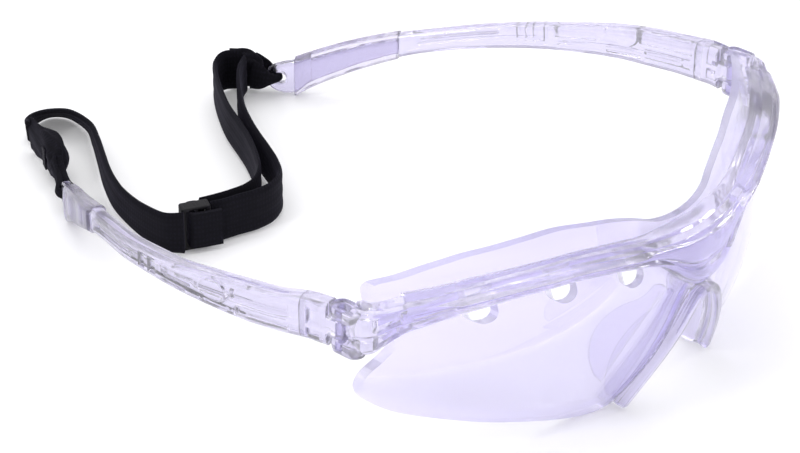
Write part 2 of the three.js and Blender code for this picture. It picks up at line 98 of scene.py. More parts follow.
floor_mesh = bpy.data.meshes.new("table_top")
floor_mesh.from_pydata([(-4, -4, 0), (4, -4, 0), (4, 4, 0), (-4, 4, 0)], [], [(0, 1, 2, 3)])
table_top = bpy.data.objects.new("table_top", floor_mesh)
bpy.context.collection.objects.link(table_top)
table_top.location.z = -0.0002
matt_white, _, _ = finish("matt_white_table", Base_Color=linear("#EDEDEF"), Roughness=0.9,
                          Specular_IOR_Level=0.1, Emission_Color=(1, 1, 1, 1),
                          Emission_Strength=0.15)
floor_mesh.materials.append(matt_white)

world = bpy.data.worlds.new("light_tent")
bpy.context.scene.world = world
world.use_nodes = True
sky = world.node_tree
where = add(sky, "ShaderNodeTexCoord")
split = add(sky, "ShaderNodeSeparateXYZ", Vector=where.outputs["Generated"])
tent = add(sky, "ShaderNodeValToRGB", Fac=split.outputs["Z"])
# the grey band above the horizon is what darkens the edges of the clear parts
for stop, colour in ((0.06, "#DEDCE6"), (0.12, "#C2BFCE"), (0.17, "#FFFFFF"), (0.24, "#FBFAFF"),
                     (0.28, "#746F88"), (0.34, "#8E8AA0"), (0.40, "#FFFFFF")):
    e = tent.color_ramp.elements.new(stop)
    e.color = linear(colour)
tent.color_ramp.elements[0].color = linear("#F4F3F8")
tent.color_ramp.elements[-1].color = (1, 1, 1, 1)
sky.links.new(tent.outputs["Color"], sky.nodes["Background"].inputs["Color"])
sky.nodes["Background"].inputs["Strength"].default_value = 0.95


def lamp(name, place, size, power):
    """A square area lamp at place, turned to the middle of the eyeguard."""
    data = bpy.data.lights.new(name, "AREA")
    data.size = size
    data.energy = power
    o = bpy.data.objects.new(name, data)
    o.location = place
    aim = np.array([0, 0, 0.02]) - np.array(place)
    flat = math.hypot(aim[0], aim[1])
    o.rotation_euler = (math.atan2(flat, -aim[2]), 0, math.atan2(-aim[0], aim[1]))
    bpy.context.collection.objects.link(o)


lamp("softbox", (0.2, 0.5, 1.6), 1.5, 9)
lamp("left_lamp", (-1.0, 0.3, 0.9), 0.22, 3.2)
lamp("right_lamp", (0.9, -0.7, 0.8), 0.18, 2.4)

optics = bpy.data.cameras.new("camera")
optics.lens = 140.95
optics.sensor_width = 36
camera = bpy.data.objects.new("camera", optics)
camera.location = (-0.4758, -0.41571, 0.40803)
camera.rotation_euler = (math.radians(57.36), 0, math.radians(-49.6))
bpy.context.collection.objects.link(camera)
bpy.context.scene.camera = camera
bpy.context.scene.view_settings.view_transform = "Standard"


# ---- lens shield ----------------------------------------------------------
# One curved sheet of optical polycarbonate, 1.8 mm thick, cut out for the
# nose, with three half-round vents a side. It is moulded, then edge-trimmed.
ORIGIN_Y = 88.4                        # mm from the model's y = 0 to the frame's
LENS_FRONT = -8                        # y of the sheet's foremost point, in mm
LENS_MIDDLE = 26.2                     # z of that point
LENS_THICK = 1.8
BEND_UP, BEND_ACROSS = 82, 130         # mm: how gently the sheet curves each way
THROUGH = (-30, 60)                    # y range of a cutter, well past the sheet


def lens_y(x, z):
    """Front of the sheet: -8 + (z - 26.2)^2 / 82 + x^2 / 130."""
    return LENS_FRONT + (z - LENS_MIDDLE) ** 2 / BEND_UP + x * x / BEND_ACROSS


def unit(v):
    """The rows of v, each scaled to length 1."""
    return v / np.linalg.norm(v, axis=1)[:, None]


def distances(p):
    """How far along the points of p each one is, from 0 at the first."""
    return np.r_[0, np.cumsum(np.linalg.norm(np.diff(p, axis=0), axis=1))]


def metres(p):
    """Points in the model's millimetres as the frame's metres."""
    return (p - [0, ORIGIN_Y, 0]) / 1000


def smooth(points, n):
    """n points on a Catmull-Rom curve through the given ones, evenly in length."""
    p = np.asarray(points, float)
    p = np.vstack([2 * p[0] - p[1], p, 2 * p[-1] - p[-2]])
    t = np.linspace(0, 1, 24, endpoint=False)[:, None]
    a, b, c, d = p[:-3, None], p[1:-2, None], p[2:-1, None], p[3:, None]
    run = 0.5 * (2 * b + (c - a) * t + (2 * a - 5 * b + 4 * c - d) * t ** 2
                 + (3 * b - a - 3 * c + d) * t ** 3)
    run = np.vstack([run.reshape(-1, p.shape[1]), p[-2]])
    length = distances(run)
    s = np.linspace(0, length[-1], n)
    return np.stack([np.interp(s, length, run[:, k]) for k in range(p.shape[1])], -1)


def shell(grid, wrap=False):
    """Closed skin over rings of points grid[i, j]: quads between neighbours,
    a fan at each open end, turned so that its volume is positive."""
    m, n = grid.shape[:2]
    i = np.arange(m if wrap else m - 1)[:, None]
    j = np.arange(n)[None, :]
    k = (j + 1) % n
    up = (i + 1) % m
    quads = np.stack([i * n + j, i * n + k, up * n + k, up * n + j], -1).reshape(-1, 4)
    verts = grid.reshape(-1, 3)
    tris = np.zeros((0, 3), int)
    if not wrap:
        verts = np.vstack([verts, grid[0].mean(0), grid[-1].mean(0)])
        r = np.arange(n)
        s = (r + 1) % n
        last = (m - 1) * n
        tris = np.vstack([np.stack([s, r, np.full(n, m * n)], -1),
                          np.stack([last + r, last + s, np.full(n, m * n + 1)], -1)])
    all_tris = np.vstack([quads[:, :3], quads[:, [0, 2, 3]], tris])
    a, b, c = (verts[all_tris[:, q]] for q in range(3))
    if np.einsum("ij,ij->", a, np.cross(b, c)) < 0:
        quads, tris = quads[:, ::-1], tris[:, ::-1]
    return verts, quads, tris


def solid(name, shells, material, sharp=35, uv=None):
    """One mesh object from closed skins in millimetres; edges sharper than
    the angle stay crisp. uv gives each vertex a place on the piece's map."""
    verts, faces, base = [], [], 0
    for v, quads, tris in shells:
        verts.append(v)
        faces += (quads + base).tolist() + (tris + base).tolist()
        base += len(v)
    mesh = bpy.data.meshes.new(name)
    mesh.from_pydata(metres(np.vstack(verts)).tolist(), [], faces)
    if uv is not None:
        layer = mesh.uv_layers.new(name="UVMap")
        corner = np.empty(len(mesh.loops), np.int32)
        mesh.loops.foreach_get("vertex_index", corner)
        layer.uv.foreach_set("vector", uv[corner].astype(np.float32).ravel())
    mesh.polygons.foreach_set("use_smooth", np.ones(len(mesh.polygons), bool))
    mesh.set_sharp_from_angle(angle=math.radians(sharp))
    mesh.materials.append(material)
    mesh.update()
    o = bpy.data.objects.new(name, mesh)
    bpy.context.collection.objects.link(o)
    return o


def plastic(name, colour, roughness, alpha, ripple, size, ior=1.585):
    """Clear moulding, polycarbonate unless ior says otherwise: transmission
    with a polished skin. A soft noise of the given size in mm ripples the
    skin, as mould flow does."""
    m, tree, surface = finish(name, Base_Color=linear(colour), Roughness=roughness, IOR=ior,
                              Transmission_Weight=1, Alpha=alpha)
    place = add(tree, "ShaderNodeTexCoord")
    flow = add(tree, "ShaderNodeTexNoise", {"Scale": 1000 / size, "Detail": 2.0},
               Vector=place.outputs["Object"])
    bumped(tree, surface, flow.outputs["Fac"], ripple, 0.0004)
    return m


optical = plastic("optical_polycarbonate", "#D4CCF8", 0.02, 0.62, 0.02, 30)
# the sheet's edge is sawn and only lightly polished, so it is rougher; its darker tint is painted
# shade, standing in for the dark line that refraction draws along the lens border
sawn_edge_painted_shade = plastic("sawn_polycarbonate_edge_painted_shade", "#B3ABDC", 0.25, 0.85, 0.1, 2)

# the wearer's left half of the sheet's edge, as (x, z) from the middle of its
# top round to the nose, and a leg of the nosepiece, as (x, z, y) from its peak
LENS_EDGE = [
    (0, 45.6), (5, 45.9), (9.5, 46.8), (13, 48.2), (18, 49.6), (24, 50.5), (31, 51.2),
    (38, 50.7),
    (44, 50.0), (49, 49.4), (52.6, 48.6), (56.2, 47.7), (61, 46.2), (65.6, 44.9), (66.6, 42.0),
    (66.2, 37.6), (65.0, 34.0), (64.2, 31.4), (66.0, 28.2), (68.4, 24.6), (69.2, 22.0),
    (69.2, 19.8), (68.2, 17.4), (66.4, 15.6), (63, 13.3), (58, 11.2), (52.3, 9.1), (46.4, 7.0),
    (38, 4.5), (30, 2.0), (25, 0.7), (21, 0.1), (18.6, 0.4)]
LEG = [(0, 29.4, -11.0), (2.8, 28.5, -10.8), (5.2, 25.8, -10.4), (7.7, 21.0, -9.3),
       (10.4, 15.4, -7.4), (13.3, 9.2, -4.8), (15.8, 3.4, -2.2), (16.6, 1.2, -1.2)]


def lens_outline():
    """Closed outline (x, z): the smoothed left half, its side of the nose
    cut-out, set 0.6 mm off the leg's line, and the mirror of both."""
    leg = smooth([(x, z) for x, z, y in LEG], 40)
    along = unit(np.gradient(leg, axis=0))
    cut = leg + np.stack([-along[:, 1], along[:, 0]], -1) * 0.6
    cut = cut[(cut[:, 1] > 1) & (cut[:, 0] > 0)][::-1]
    half = np.vstack([smooth(LENS_EDGE, 190), cut])
    return np.vstack([half, (half * [-1, 1])[::-1]])


def prism(outline, y0, y1):
    """The outline (x, z) as a straight bar from y0 to y1, in mm, taken
    clockwise so that its faces point outwards."""
    across, up = outline[:, 0], outline[:, 1]
    if np.sum(across * np.roll(up, -1) - np.roll(across, -1) * up) > 0:
        outline = outline[::-1]
    low = np.insert(outline, 1, y0, axis=1)
    high = np.insert(outline, 1, y1, axis=1)
    n = len(outline)
    j = np.arange(n)
    k = (j + 1) % n
    sides = np.stack([j, k, k + n, j + n], -1).tolist()
    mesh = bpy.data.meshes.new("cutter")
    caps = [list(range(n))[::-1], list(range(n, 2 * n))]
    mesh.from_pydata(metres(np.vstack([low, high])).tolist(), [], sides + caps)
    o = bpy.data.objects.new("cutter", mesh)
    bpy.context.collection.objects.link(o)
    return o


def trimmed(piece, cutters, sharp=35):
    """The piece after each (cutter, operation), with the cutters removed and
    edges sharper than the angle kept crisp."""
    for cutter, operation in cutters:
        cut = piece.modifiers.new("trim", "BOOLEAN")
        cut.object = cutter
        cut.operation = operation
        cut.solver = "EXACT"
    bpy.context.view_layer.update()
    graph = bpy.context.evaluated_depsgraph_get()
    done = bpy.data.meshes.new_from_object(piece.evaluated_get(graph))
    piece.modifiers.clear()
    piece.data = done
    for cutter, _ in cutters:
        bpy.data.objects.remove(cutter)
    done.polygons.foreach_set("use_smooth", np.ones(len(done.polygons), bool))
    done.set_sharp_from_angle(angle=math.radians(sharp))
    return piece


def lens_sheet():
    """The whole curved sheet before it is cut, wider and taller than the lens."""
    x = np.linspace(-70.5, 70.5, 181)[:, None]
    z = np.linspace(-1, 52.5, 55)[None, :]
    stretch = np.hypot(1, 2 * x / BEND_ACROSS)
    front = np.stack(np.broadcast_arrays(x, lens_y(x, z), z), -1)
    rear = np.stack(np.broadcast_arrays(x, lens_y(x, z) + LENS_THICK * stretch, z), -1)
    return shell(np.concatenate([front, rear[:, ::-1]], 1))


def vent(x, z):
    """Cutter of a vent: straight at the top, z, with a half round below."""
    t = np.linspace(math.pi, 2 * math.pi, 18)
    arc = np.stack([x + 2.6 * np.cos(t), z - 3.2 + 2.6 * np.sin(t)], -1)
    return prism(np.vstack([[x - 2.6, z], arc, [x + 2.6, z]]), *THROUGH)


def on_edge(mesh):
    """1 for each face that is turned well away from the sheet, otherwise 0."""
    count = len(mesh.polygons)
    normals, centres = np.empty(count * 3), np.empty(count * 3)
    mesh.polygons.foreach_get("normal", normals)
    mesh.polygons.foreach_get("center", centres)
    normals, centres = normals.reshape(-1, 3), centres.reshape(-1, 3) * 1000
    square = unit(np.stack([2 * centres[:, 0] / BEND_ACROSS, np.full(count, -1.0),
                            2 * (centres[:, 2] - LENS_MIDDLE) / BEND_UP], -1))
    return (np.abs(np.einsum("ij,ij->i", square, normals)) < 0.6).astype(np.int32)


lens_shield = solid("clear_shield", [lens_sheet()], optical)
vents = [(vent(side * x, z), "DIFFERENCE")
         for x, z in ((18.5, 41.2), (34.0, 42.3), (49.5, 40.8)) for side in (-1, 1)]
trimmed(lens_shield, [(prism(lens_outline(), *THROUGH), "INTERSECT")] + vents)
# the edge faces get the darker tint: painted shade for the refracted border line
lens_shield.data.materials.append(sawn_edge_painted_shade)
lens_shield.data.polygons.foreach_set("material_index", on_edge(lens_shield.data))
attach(lens_shield, "front")
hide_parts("lens_shield")


# ---- brow bar -------------------------------------------------------------
# One clear moulding over the shield: a grooved bar with a widow's peak at
# the nose, and at each end a block with two hinge lugs.
moulded = plastic("clear_moulded_polycarbonate", "#D3CEE9", 0.02, 0.90, 0.10, 9)
HINGE_X, HINGE_Y = 70.6, 33.4          # mm: the middle of each hinge pin
LUG_RADIUS = 2.4

# left half of the bar's lower and upper edges, as (x, z)
BAR_BOTTOM = [(0, 30.8), (4, 31.6), (8, 34.4), (11, 37.6), (15, 40.9), (22, 43.0), (31, 43.9),
              (36, 43.6), (43, 42.9), (51, 41.3), (54.5, 40.3), (58, 38.9), (62, 37.0)]
BAR_TOP = [(0, 44.4), (8, 45.0), (15, 45.6), (21.4, 46.4), (30, 46.9), (40.6, 46.4),
           (50, 45.4), (56.7, 44.2), (62, 43.3)]
# across the bar: depth from back to front and height, both from 0 to 1
BAR_PROFILE = [(0.07, 0.0), (0.40, -0.02), (0.66, 0.0), (0.74, 0.07), (0.90, 0.10),
               (0.97, 0.20), (0.93, 0.30), (0.82, 0.36), (0.82, 0.42), (0.95, 0.48),
               (1.0, 0.60), (0.98, 0.74), (0.90, 0.86), (0.80, 0.90), (0.76, 0.97),
               (0.55, 1.02), (0.48, 0.99), (0.36, 1.05), (0.07, 1.08), (0.05, 0.5)]


def ring_of(points, n):
    """Closed smooth loop of n points through a closed profile."""
    p = list(points)
    run = smooth(p[-3:] + p + p[:3], 24 * (len(p) + 5) + 1)
    d = np.linalg.norm(run[:, None] - np.array(p)[None, 0], axis=-1)[:, 0]
    half = len(run) // 2
    first, last = np.argmin(d[:half]), half + np.argmin(d[half:])
    pick = np.linspace(first, last, n, endpoint=False)
    k = np.arange(len(run))
    return np.stack([np.interp(pick, k, run[:, 0]), np.interp(pick, k, run[:, 1])], -1)


def pit(u, v, u0, u1, v0, v1, soft_u, soft_v):
    """1 inside a rectangle of (u, v), falling smoothly to 0 outside it."""
    def step(t):
        t = np.clip(t, 0, 1)
        return t * t * (3 - 2 * t)
    inside_u = step((u - u0) / soft_u) * step((u1 - u) / soft_u)
    return inside_u * step((v - v0) / soft_v) * step((v1 - v) / soft_v)


def bar_stations():
    """Rows of (x, y, nx, ny, depth, z0, z1) from the middle to the left end."""
    xs = np.linspace(0, 62, 150)
    low = smooth(BAR_BOTTOM, 400)
    top = smooth(BAR_TOP, 400)
    z0 = np.interp(xs, low[:, 0], low[:, 1])
    z1 = np.interp(xs, top[:, 0], top[:, 1])
    slope = 2 * xs / BEND_ACROSS
    k = np.hypot(1, slope)
    nx, ny = slope / k, -1 / k
    y = lens_y(xs, (z0 + z1) / 2)
    depth = np.interp(xs, [0, 10, 20, 52, 62], [4.9, 5.7, 7.1, 7.1, 6.2])
    gap = 0.35                         # mm between the bar's back and the sheet
    bar = np.stack([xs + nx * gap, y + ny * gap, nx, ny, depth - gap, z0, z1], -1)
    ends = [(67.2, 26.4, 0.89, -0.45, 4.4, 32.4, 42.4),
            (68.2, 29.5, 0.99, -0.14, 4.4, 30.8, 41.8), (68.6, 30.4, 1, 0, 4.3, 30.4, 41.5)]
    tail = smooth([bar[-8], bar[-1]] + ends, 60)
    return np.vstack([bar[:-8], tail])


def bar_solid():
    """Profile carried along the stations; height and depth scale with them."""
    half = bar_stations()
    mirror = half[:0:-1] * [-1, 1, -1, 1, 1, 1, 1]
    rows = np.vstack([mirror, half])
    prof = ring_of(BAR_PROFILE, 84)
    p, q = prof[None, :, 0], prof[None, :, 1]
    x0, y0, nx, ny, depth, z0, z1 = (rows[:, k, None] for k in range(7))
    ax = np.abs(x0)
    # moulded windows in the side of each end block
    d = p * depth
    front_face = np.clip((p - 0.5) * 4, 0, 1)
    d = d - 1.7 * front_face * pit(ax, q, 63.2, 67.3, 0.10, 0.44, 0.5, 0.08)
    d = d - 1.7 * front_face * pit(ax, q, 62.6, 67.3, 0.56, 0.90, 0.5, 0.08)
    d = d - 0.9 * front_face * pit(ax, q, 54.0, 61.6, 0.50, 0.74, 0.8, 0.07)
    z = z0 + q * (z1 - z0)
    # behind the bar the moulding follows the shield
    lean = (lens_y(x0, z) - lens_y(x0, (z0 + z1) / 2)) * (1 - p) * (ax < 62)
    return np.stack([x0 + nx * d, y0 + ny * d + lean, z], -1)


def rounded(a, b, r, n):
    """Rounded rectangle of half sizes a and b: n points on each corner."""
    t = np.linspace(0, math.pi / 2, n)
    sets = [(1, 1, 0), (-1, 1, 1), (-1, -1, 2), (1, -1, 3)]
    return np.vstack([np.stack([sx * (a - r) + r * np.cos(t + k * math.pi / 2),
                                sz * (b - r) + r * np.sin(t + k * math.pi / 2)], -1)
                      for sx, sz, k in sets])


def post(x, y, radius, z0, z1, tongue=0.0, edge=0.35):
    """Upright post: a circle, or a round-ended tongue reaching towards the
    lens (or towards the arm, if negative), carried from z0 to z1 with a
    small rounded edge."""
    t = np.linspace(0, 2 * math.pi, 40, endpoint=False)
    unit = np.stack([np.cos(t), np.sin(t)], -1)
    reach = np.where(np.sin(t) * tongue < -1e-9, tongue, 0)
    rows = []
    for inset, z in ((edge * 1.5, z0), (edge * 0.3, z0 + edge * 0.3), (0, z0 + edge),
                     (0, z1 - edge), (edge * 0.3, z1 - edge * 0.3), (edge * 1.5, z1)):
        ring = unit * (radius - inset)
        rows.append(np.stack([x + ring[:, 0], y + ring[:, 1] - reach, np.full(40, z)], -1))
    return np.array(rows)


brow_bar = solid("brow_bar_moulding", [shell(bar_solid())], moulded)
lugs = [solid("lug", [shell(post(side * HINGE_X, HINGE_Y, LUG_RADIUS, low, high, tongue=3.4))],
              moulded)
        for side in (-1, 1) for low, high in ((30.2, 33.3), (38.3, 41.4))]
trimmed(brow_bar, [(lug, "UNION") for lug in lugs])
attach(brow_bar, "front")
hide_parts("brow_bar")


# ---- hinge pins -----------------------------------------------------------
# Each is a plain clear pin, 1.8 mm across, pressed up through the lugs.
for side, name in ((-1, "right"), (1, "left")):
    rod_skin = shell(post(side * HINGE_X, HINGE_Y, 0.9, 30.3, 40.1, edge=0.25))
    pin = solid(f"pin_{name}", [rod_skin], moulded)
    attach(pin, "front")
    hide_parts(f"hinge_pin_{name}")


# ---- hinge links ----------------------------------------------------------
# The middle knuckle of the hinge and the block the arm is welded to, in one
# clear moulding, with two windows moulded in its outer side.
# down the arm: y, x, lower and upper z, half thickness
ARM = np.array([
    (36.3, 70.7, 30.3, 41.2, 2.3), (39.4, 71.1, 30.3, 41.0, 2.4), (42.5, 71.3, 30.0, 40.6, 2.4),
    (50, 72.2, 29.0, 38.8, 2.4), (58, 72.4, 27.8, 37.4, 2.3),
    (68, 72.0, 26.6, 35.3, 2.2), (80, 70.3, 24.8, 32.1, 2.2), (92, 67.4, 22.6, 29.2, 2.1),
    (104, 63.5, 19.9, 26.0, 2.0), (116, 58.1, 16.8, 22.6, 1.9), (124, 54.2, 13.9, 20.3, 1.8),
    (134, 49.0, 9.0, 16.6, 1.8), (142, 43.9, 4.4, 13.0, 1.8), (147.4, 40.3, 0.35, 10.2, 1.7)])


def arm_rows(y0, y1, n, grow=0.0):
    """Rows (x, y, nx, ny, half thickness, z0, z1) down the arm; the normal
    is square to the arm's plan line and points outwards."""
    fine = smooth(ARM, 900)
    y = np.linspace(y0, y1, n)
    x, z0, z1, half = (np.interp(y, fine[:, 0], fine[:, k]) for k in (1, 2, 3, 4))
    dx = np.gradient(x, y)
    k = np.hypot(1, dx)
    return np.stack([x, y, 1 / k, -dx / k, half + grow, z0 - grow, z1 + grow], -1)


def arm_skin(rows, side, relief):
    """Rounded box section carried down the rows. relief(y, q, face) in mm
    raises or sinks the outer (face 1) and inner (face -1) sides."""
    ring = rounded(1, 1, 0.55, 10)
    # more points down the two broad faces, so that relief can follow them
    left = np.stack([np.full(26, -1.0), np.linspace(0.43, -0.43, 26)], -1)
    right = -left
    ring = np.vstack([ring[:20], left, ring[20:], right])
    c, s = ring[None, :, 0], ring[None, :, 1]
    x, y, nx, ny, half, z0, z1 = (rows[:, k, None] for k in range(7))
    q = (s + 1) / 2
    face = np.sign(c) * (np.abs(c) > 0.9)
    out = c * half + face * relief(y + 0 * c, q + 0 * y, face)
    z = z0 + q * (z1 - z0)
    return np.stack([side * (x + nx * out), y + ny * out, z], -1)


def link_relief(y, q, face):
    """Two windows sunk in the outer side, one over the other."""
    return (-0.9 * (face > 0) * pit(y, q, 38.0, 41.3, 0.42, 0.80, 0.4, 0.06)
            - 0.7 * (face > 0) * pit(y, q, 38.0, 41.3, 0.08, 0.34, 0.4, 0.06))


for side, name in ((-1, "right"), (1, "left")):
    block = shell(arm_skin(arm_rows(36.4, 43.0, 34), side, link_relief))
    link = solid(f"link_{name}", [block], moulded)
    barrel = shell(post(side * HINGE_X, HINGE_Y, LUG_RADIUS, 33.6, 38.0, tongue=-3.6))
    knuckle = solid("knuckle", [barrel], moulded)
    trimmed(link, [(knuckle, "UNION")])
    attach(link, f"temple_{name}")
    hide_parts(f"hinge_link_{name}")


# ---- temple arms ----------------------------------------------------------
# Clear moulded arms, deep at the hinge and slim at the tip, with ribs,
# sunk panels and an oval boss in the outer side. Each ends in a flat
# tongue with the eye that the strap goes through.
EYE_X, EYE_Y, EYE_Z = 38.2, 150.8, 4.8  # mm: the middle of the left arm's eye
EYE_FACE = (0.85, 0.527)                # which way the tongue faces, in plan


def oval(y, q, yc, qc, ry, rq):
    """1 in the middle of an ellipse, falling to 0 just outside its rim."""
    r = np.hypot((y - yc) / ry, (q - qc) / rq)
    t = np.clip((1.12 - r) / 0.24, 0, 1)
    return t * t * (3 - 2 * t)


def arm_relief(y, q, face):
    """Panels, ribs and boss; the inner side has only two long flutes."""
    outer = (-0.75 * pit(y, q, 45.6, 62.5, 0.50, 0.84, 1.2, 0.07)
             - 0.60 * pit(y, q, 45.6, 61.0, 0.12, 0.42, 1.2, 0.07)
             + 0.45 * oval(y, q, 67.5, 0.62, 4.6, 0.30)
             - 0.45 * oval(y, q, 66.5, 0.16, 5.2, 0.09)
             - 0.70 * pit(y, q, 73.5, 86.5, 0.40, 0.72, 2.5, 0.09)
             - 0.50 * pit(y, q, 76.0, 86.5, 0.12, 0.30, 2.5, 0.06)
             - 0.60 * pit(y, q, 88.3, 91.6, 0.22, 0.80, 0.5, 0.06)
             - 0.60 * pit(y, q, 93.0, 95.8, 0.22, 0.80, 0.5, 0.06)
             - 0.55 * pit(y, q, 98.0, 121.0, 0.36, 0.62, 3.0, 0.08))
    inner = (-0.45 * pit(y, q, 46.0, 84.0, 0.30, 0.50, 3.0, 0.08)
             - 0.40 * pit(y, q, 88.0, 121.0, 0.45, 0.66, 3.0, 0.08))
    return np.where(face > 0, outer, inner)


def tongue_skin(side):
    """Flat tongue beyond the sleeve, widening round the strap's eye."""
    path = smooth([(42.6, 143.6, 8.3, 3.3), (40.4, 147.2, 5.6, 4.4), (39.2, 149.2, 5.0, 4.4),
                   (38.2, 150.8, 4.8, 4.0), (37.1, 152.6, 4.8, 3.0), (36.3, 153.9, 4.8, 0.9)], 30)
    ring = rounded(1.1, 1, 0.4, 6)
    x, y, z, half = (path[:, k, None] for k in range(4))
    nx, ny = EYE_FACE
    c, s = ring[None, :, 0], ring[None, :, 1]
    return np.stack([side * (x + nx * c), y + ny * c, z + s * half], -1)


def about_eye(a, b, c, side):
    """Points a mm along the tongue, b mm up and c mm out from the eye."""
    nx, ny = EYE_FACE
    return np.stack([side * (EYE_X - ny * a + nx * c), EYE_Y + nx * a + ny * c, EYE_Z + b], -1)


def eye_ring(side):
    """Raised ring round the eye: a small circle carried round a larger one."""
    u = np.linspace(0, 2 * math.pi, 40, endpoint=False)[:, None]
    v = np.linspace(0, 2 * math.pi, 14, endpoint=False)[None, :]
    r = 2.15 + 0.5 * np.cos(v)
    return about_eye(r * np.cos(u), r * np.sin(u), 1.15 * np.sin(v) + 0 * u, side)


def eye_drill(side):
    """Straight round bar, 3.6 mm across, square through the tongue."""
    u = np.linspace(0, 2 * math.pi, 40, endpoint=False)[None, :]
    c = np.array([-3.0, 3.0])[:, None] + 0 * u
    return about_eye(1.8 * np.cos(u) + 0 * c, 1.8 * np.sin(u) + 0 * c, c, side)


for side, name in ((-1, "right"), (1, "left")):
    blade = shell(arm_skin(arm_rows(43.3, 123.7, 520), side, arm_relief))
    arm = solid(f"arm_{name}", [blade], moulded)
    # the slim core inside the sleeve, with the tongue and its eye
    core = arm_skin(arm_rows(123.72, 146.6, 30, grow=-1.3), side, lambda y, q, face: 0 * y)
    tip = solid("tip_core", [shell(core)], moulded)
    trimmed(tip, [(solid("tongue", [shell(tongue_skin(side))], moulded), "UNION"),
                  (solid("drill", [shell(eye_drill(side))], moulded), "DIFFERENCE"),
                  (solid("ring", [shell(eye_ring(side), wrap=True)], moulded), "UNION")])
    both = bmesh.new()
    both.from_mesh(arm.data)
    both.from_mesh(tip.data)
    both.to_mesh(arm.data)
    both.free()
    bpy.data.objects.remove(tip)
    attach(arm, f"temple_{name}")
    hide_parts(f"temple_arm_{name}")


# ---- tip sleeves ----------------------------------------------------------
# Soft milky sleeves pushed over the arm tips, thicker at the rim, so that
# the tips grip behind the ears.
SILICONE_IOR = 1.41
silicone, tree, skin = finish("milky_silicone", Base_Color=linear("#EAE6F6"), Roughness=0.22,
                              IOR=SILICONE_IOR, Transmission_Weight=0.90,
                              Subsurface_Weight=0.25, Subsurface_Radius=(0.004, 0.004, 0.005))
place = add(tree, "ShaderNodeTexCoord")
grain = add(tree, "ShaderNodeTexNoise", {"Scale": 900.0, "Detail": 3.0},
            Vector=place.outputs["Object"])
bumped(tree, skin, grain.outputs["Fac"], 0.15, 0.0002)


def sleeve_relief(y, q, face):
    """A thick rim, two grip waists and a slight swell at the end."""
    waists = np.sin((y - 127) / 20 * 4 * math.pi)
    return (0.35 * pit(y, q, 123.8, 127.4, -0.5, 1.5, 0.6, 0.1)
            + 0.25 * waists * pit(y, q, 127, 147, -0.5, 1.5, 2, 0.1))


for side, name in ((-1, "right"), (1, "left")):
    rows = arm_rows(124, 147.4, 90, grow=0.35)
    sleeve = solid(f"sleeve_{name}", [shell(arm_skin(rows, side, sleeve_relief))], silicone,
                   sharp=60)
    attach(sleeve, f"temple_{name}")
    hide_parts(f"tip_sleeve_{name}")


# ---- nosepiece ------------------------------------------------------------
# Clear inverted V clipped over the shield's nose cut-out. Its legs are 8 mm
# deep, with a long groove down each side.
def nosepiece_skin():
    """Grooved profile, 2 mm wide, carried along the V from foot to foot."""
    half = smooth(LEG, 90)
    rows = np.vstack([(half * [-1, 1, 1])[:0:-1], half])
    along = unit(np.gradient(rows[:, :2], axis=0))
    nx, nz = -along[:, 1:2], along[:, 0:1]
    prof = ring_of([(0.0, 0.15), (0.0, 0.95), (1.6, 1.0), (2.2, 0.78), (3.4, 0.80), (4.0, 1.0),
                    (6.8, 1.0), (7.9, 0.9), (8.0, 0.5), (7.9, 0.1), (6.5, 0.0), (4.0, 0.0),
                    (3.2, 0.16), (1.8, 0.18), (1.2, 0.0), (0.3, 0.0)], 64)
    dy, w = prof[None, :, 0], (prof[None, :, 1] - 1) * 2.0
    return np.stack([rows[:, 0:1] + nx * w, rows[:, 2:3] + dy, rows[:, 1:2] + nz * w], -1)


nosepiece = solid("nosepiece_moulding", [shell(nosepiece_skin())], moulded, sharp=40)
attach(nosepiece, "front")
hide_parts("nosepiece")


# ---- nose pads ------------------------------------------------------------
# Soft clear paddles, a D with a short neck, behind the shield along the
# nosepiece's back edge. They are moulded in silicone with a thin rolled rim.
pad_rubber = plastic("clear_silicone", "#DAD4F2", 0.22, 0.55, 0.1, 3, ior=SILICONE_IOR)


def pad_skin(side):
    """An outline of a D and its neck filled by rings: its half thickness is
    0.55 mm inside, 0.8 mm at the rolled rim, and falls to nothing at the edge."""
    bow = smooth([(0, -11.8), (2.6, -11.0), (5.6, -8.0), (7.3, -3.8), (7.4, 0.2), (6.6, 3.8),
                  (5.2, 7.0), (3.5, 9.6), (2.8, 12.2), (2.5, 14.4), (1.4, 15.7),
                  (0, 15.8)], 84)[:-1]
    flat = np.stack([np.full(30, 0.0), np.linspace(15.8, -11.8, 30, endpoint=False)], -1)
    edge = np.vstack([bow, flat])
    middle = np.array([1.6, 3.0])
    s = np.array([0.02, 0.3, 0.6, 0.80, 0.88, 0.94, 0.98, 1.0])
    thick = np.array([0.55, 0.55, 0.55, 0.6, 0.8, 0.8, 0.5, 0.0])
    rings = [middle + (edge - middle) * k for k in s]
    top = [np.insert(r, 2, h, axis=1) for r, h in zip(rings, thick)]
    under = [np.insert(r, 2, -h, axis=1) for r, h in zip(rings[-2::-1], thick[-2::-1])]
    grid = np.array(top + under)
    along = np.array([-0.36, -0.34, 0.87])
    along /= np.linalg.norm(along)
    out = np.array([0.42, 0.9, 0.0])
    out -= along * out.dot(along)
    out /= np.linalg.norm(out)
    normal = np.cross(out, along)
    p = grid @ np.stack([out, along, normal]) + [11.0, 2.6, 14.6]
    return p * [side, 1, 1]


for side, name in ((-1, "right"), (1, "left")):
    pad = solid(f"pad_{name}", [shell(pad_skin(side))], pad_rubber, sharp=80)
    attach(pad, "front")
    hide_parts(f"nose_pad_{name}")


# ---- head strap -----------------------------------------------------------
# Woven elastic, 11.4 mm wide and 1.2 mm thick, black with a violet cast. The
# single run leans out round its far turn; the doubled run stands on edge.
WEB_WIDTH, WEB_THICK = 11.4, 1.2
elastic, tree, cloth = finish("woven_elastic", Roughness=0.94, Sheen_Weight=0.08,
                              Sheen_Roughness=0.4, Sheen_Tint=linear("#7A72A0"),
                              Specular_IOR_Level=0.18)
uv_place = add(tree, "ShaderNodeUVMap", {"uv_map": "UVMap"})
